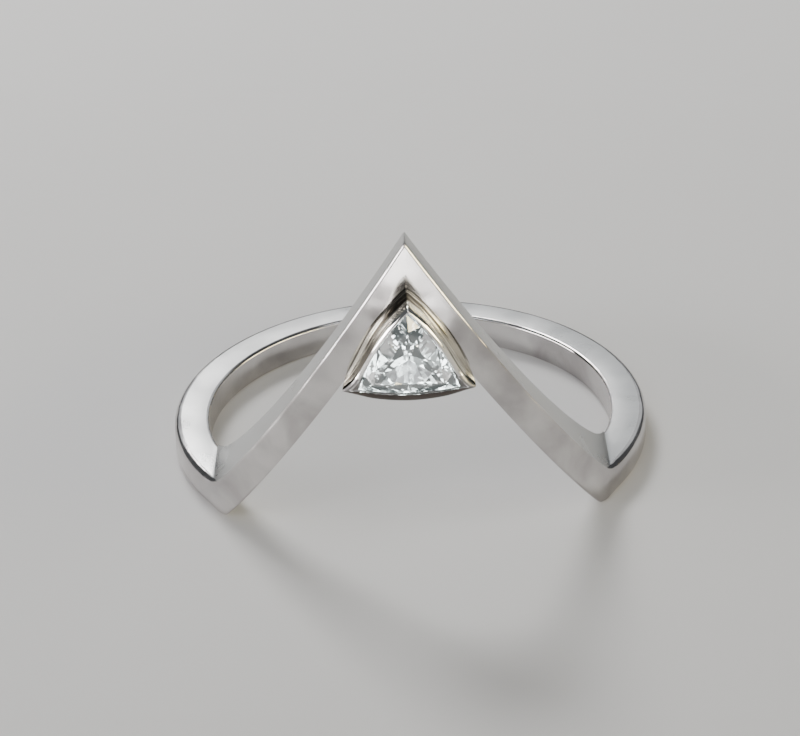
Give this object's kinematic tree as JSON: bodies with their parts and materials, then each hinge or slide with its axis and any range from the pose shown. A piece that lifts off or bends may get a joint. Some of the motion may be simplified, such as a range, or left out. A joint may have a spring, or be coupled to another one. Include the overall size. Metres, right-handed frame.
{
  "type": "diamond ring",
  "caption": "Chevron finger ring in white gold, its point carrying a bezel-set trillion-cut diamond in front of the arms.",
  "frame": {"origin": "centre of the finger hole, at the side of the shank that the ring lies on", "axes": "+Z along the finger hole, up towards the chevron's point; -Y out through the point and the stone; +X to the wearer's right in the front view"},
  "size_m": [0.0194, 0.0208, 0.0136],
  "materials": {
    "white_gold": "polished",
    "diamond": "gloss"
  },
  "bodies": {
    "root": {"band": "white_gold", "diamond": "diamond"}
  },
  "joints": []
}
